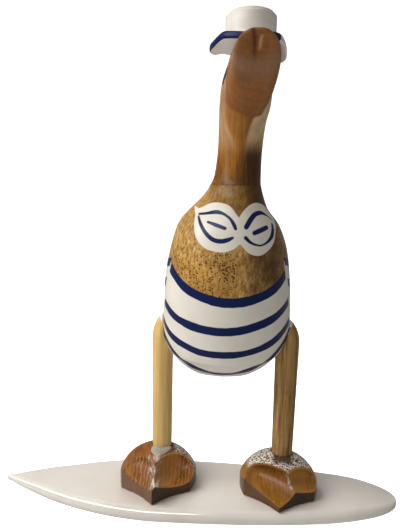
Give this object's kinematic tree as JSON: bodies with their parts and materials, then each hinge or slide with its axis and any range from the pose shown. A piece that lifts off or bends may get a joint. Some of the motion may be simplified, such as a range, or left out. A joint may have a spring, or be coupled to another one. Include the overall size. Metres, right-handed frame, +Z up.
{
  "type": "wooden duck figure",
  "caption": "Upright carved wooden duck in a painted striped swimsuit and a small round hat, standing on stick legs and block feet on a small white surfboard.",
  "frame": {"origin": "middle of the surfboard's flat underside", "axes": "+Z up along the standing duck; the duck faces -Y; the surfboard runs along X with its pointed nose at -X"},
  "size_m": [0.322, 0.1805, 0.3791],
  "materials": {
    "surfboard": "gloss white paint",
    "right_foot": "varnished teak",
    "left_foot": "varnished teak",
    "right_leg": "varnished pale stick",
    "left_leg": "varnished brown stick",
    "body": "varnished bamboo root with painted swimsuit",
    "head_and_neck": "varnished teak",
    "hat": "white paint with a navy brim"
  },
  "bodies": {
    "root": {"surfboard": "surfboard", "right_foot": "right_foot", "left_foot": "left_foot", "right_leg": "right_leg", "left_leg": "left_leg", "body": "body", "head_and_neck": "head_and_neck", "hat": "hat"}
  },
  "joints": []
}
